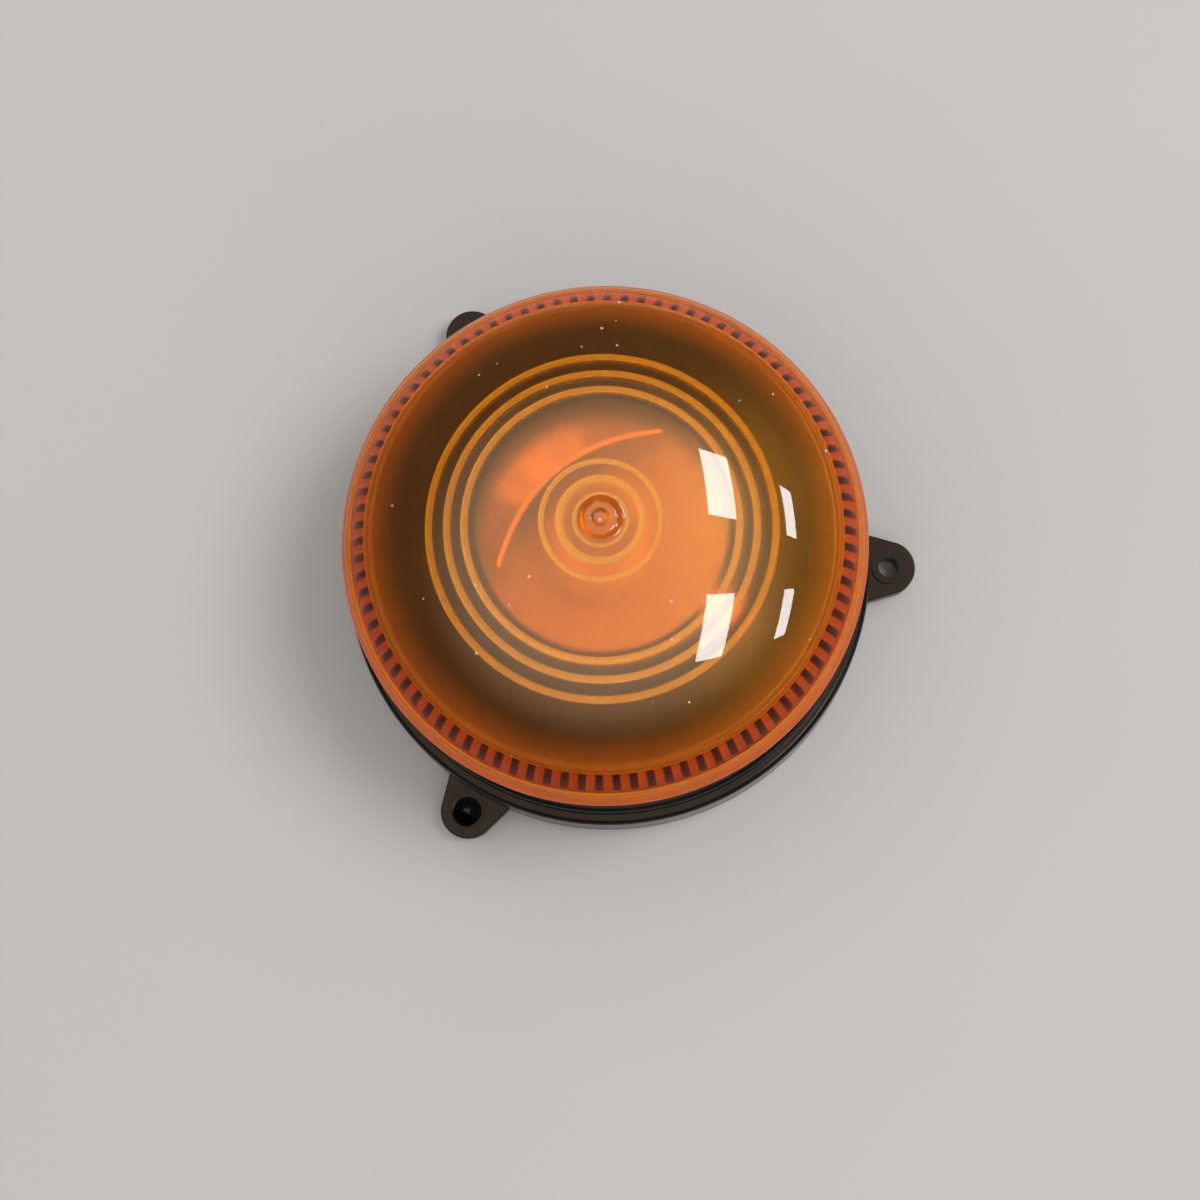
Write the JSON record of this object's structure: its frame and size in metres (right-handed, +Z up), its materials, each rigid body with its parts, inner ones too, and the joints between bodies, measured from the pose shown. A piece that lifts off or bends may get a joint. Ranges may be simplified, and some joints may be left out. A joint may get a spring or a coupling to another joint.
{
  "type": "warning beacon",
  "caption": "Round amber warning beacon: screw-on dome lens over a lamp and a motor-turned reflector, on a black stepped base with bolt ears.",
  "frame": {"origin": "centre of the flat underside, on the light's axis", "axes": "+Z up the light's axis through the lens top; +X towards one of the three mounting ears"},
  "size_m": [0.158, 0.15, 0.0848],
  "materials": {
    "amber_lens": "polished clear amber polycarbonate",
    "gloss_black_base": "glossy moulded black",
    "black_deck": "satin moulded black",
    "cover_black": "satin moulded black",
    "black_rubber": "soft matt rubber",
    "zinc_steel": "zinc plated steel",
    "blackened_steel": "black oxide steel",
    "bright_steel": "bright nickel plated steel",
    "spring_steel": "spring wire",
    "bronze_bush": "sintered bronze",
    "brass": "turned brass",
    "natural_nylon": "natural nylon",
    "mirror_reflector": "vacuum metallised mirror",
    "bakelite": "brown phenolic",
    "clear_glass": "clear lamp glass",
    "tungsten": "drawn tungsten wire",
    "board_laminate": "green solder mask",
    "terminal_green": "moulded green",
    "capacitor_sleeve": "dark blue sleeve",
    "copper_winding": "enamelled copper wire",
    "red_insulation": "red flexible insulation",
    "black_insulation": "black flexible insulation"
  },
  "bodies": {
    "base": {"base_housing": "gloss_black_base", "board_screw_1": "zinc_steel", "board_screw_2": "zinc_steel", "bottom_cover": "cover_black", "bracket_screw_1": "zinc_steel", "bracket_screw_2": "zinc_steel", "cable_grommet": "black_rubber", "capacitor": "capacitor_sleeve", "chassis_plate": "black_deck", "chassis_screw_1": "blackened_steel", "chassis_screw_2": "blackened_steel", "chassis_screw_3": "blackened_steel", "choke": "copper_winding", "circuit_board": "board_laminate", "contact_spring": "spring_steel", "cover_screw_1": "zinc_steel", "cover_screw_2": "zinc_steel", "cover_screw_3": "zinc_steel", "lamp_bracket": "zinc_steel", "lamp_lead": "red_insulation", "lamp_socket": "bright_steel", "motor_can": "zinc_steel", "motor_end_cap": "black_deck", "motor_lead_black": "black_insulation", "motor_lead_red": "red_insulation", "motor_screw_1": "blackened_steel", "motor_screw_2": "blackened_steel", "mounting_gasket": "black_rubber", "pivot_tube": "bright_steel", "retaining_clip": "spring_steel", "socket_insulator": "bakelite", "terminal_block": "terminal_green", "terminal_screw_1": "zinc_steel", "terminal_screw_2": "zinc_steel", "thrust_washer": "bronze_bush"},
    "lens_ring": {"lens_seal": "black_rubber"},
    "lens": {"lens_dome": "amber_lens"},
    "turntable": {"turntable_gear": "natural_nylon", "gear_bush": "bronze_bush", "reflector": "mirror_reflector", "reflector_screw_1": "zinc_steel", "reflector_screw_2": "zinc_steel"},
    "rotor": {"motor_shaft": "bright_steel", "drive_pinion": "brass"},
    "contact": {"contact_plunger": "brass"},
    "bulb": {"bulb_cap": "brass", "bulb_glass": "clear_glass", "bulb_filament": "tungsten"}
  },
  "joints": [
    {"name": "reflector_spin", "type": "hinge", "parent": "base", "child": "turntable", "pos_m": [0, 0, 0.048], "axis": [0, 0, 1], "continuous": true},
    {"name": "motor_spin", "type": "hinge", "parent": "base", "child": "rotor", "pos_m": [0.03204, -0.0185, 0.048], "axis": [0, 0, 1], "continuous": true},
    {"name": "lens_lift", "type": "slide", "parent": "base", "child": "lens_ring", "axis": [0, 0, 1], "range_m": [0, 0.00151]},
    {"name": "lens_turn", "type": "hinge", "parent": "lens_ring", "child": "lens", "pos_m": [0, 0, 0.052], "axis": [0, 0, 1], "range_deg": [0, 75]},
    {"name": "contact_press", "type": "slide", "parent": "base", "child": "contact", "axis": [0, 0, -1], "range_m": [0, 0.0015], "stiffness_N_per_m": 1500, "springref_m": -0.004, "deforming": ["contact_spring"]},
    {"name": "bulb_turn", "type": "hinge", "parent": "contact", "child": "bulb", "pos_m": [0, 0, 0.05], "axis": [0, 0, 1], "range_deg": [0, 18]}
  ],
  "couplings": [
    {"joint": "motor_spin", "follows": "reflector_spin", "ratio": -6.4},
    {"joint": "lens_lift", "follows": "lens_turn", "m_per_rad": 0.0011459}
  ]
}
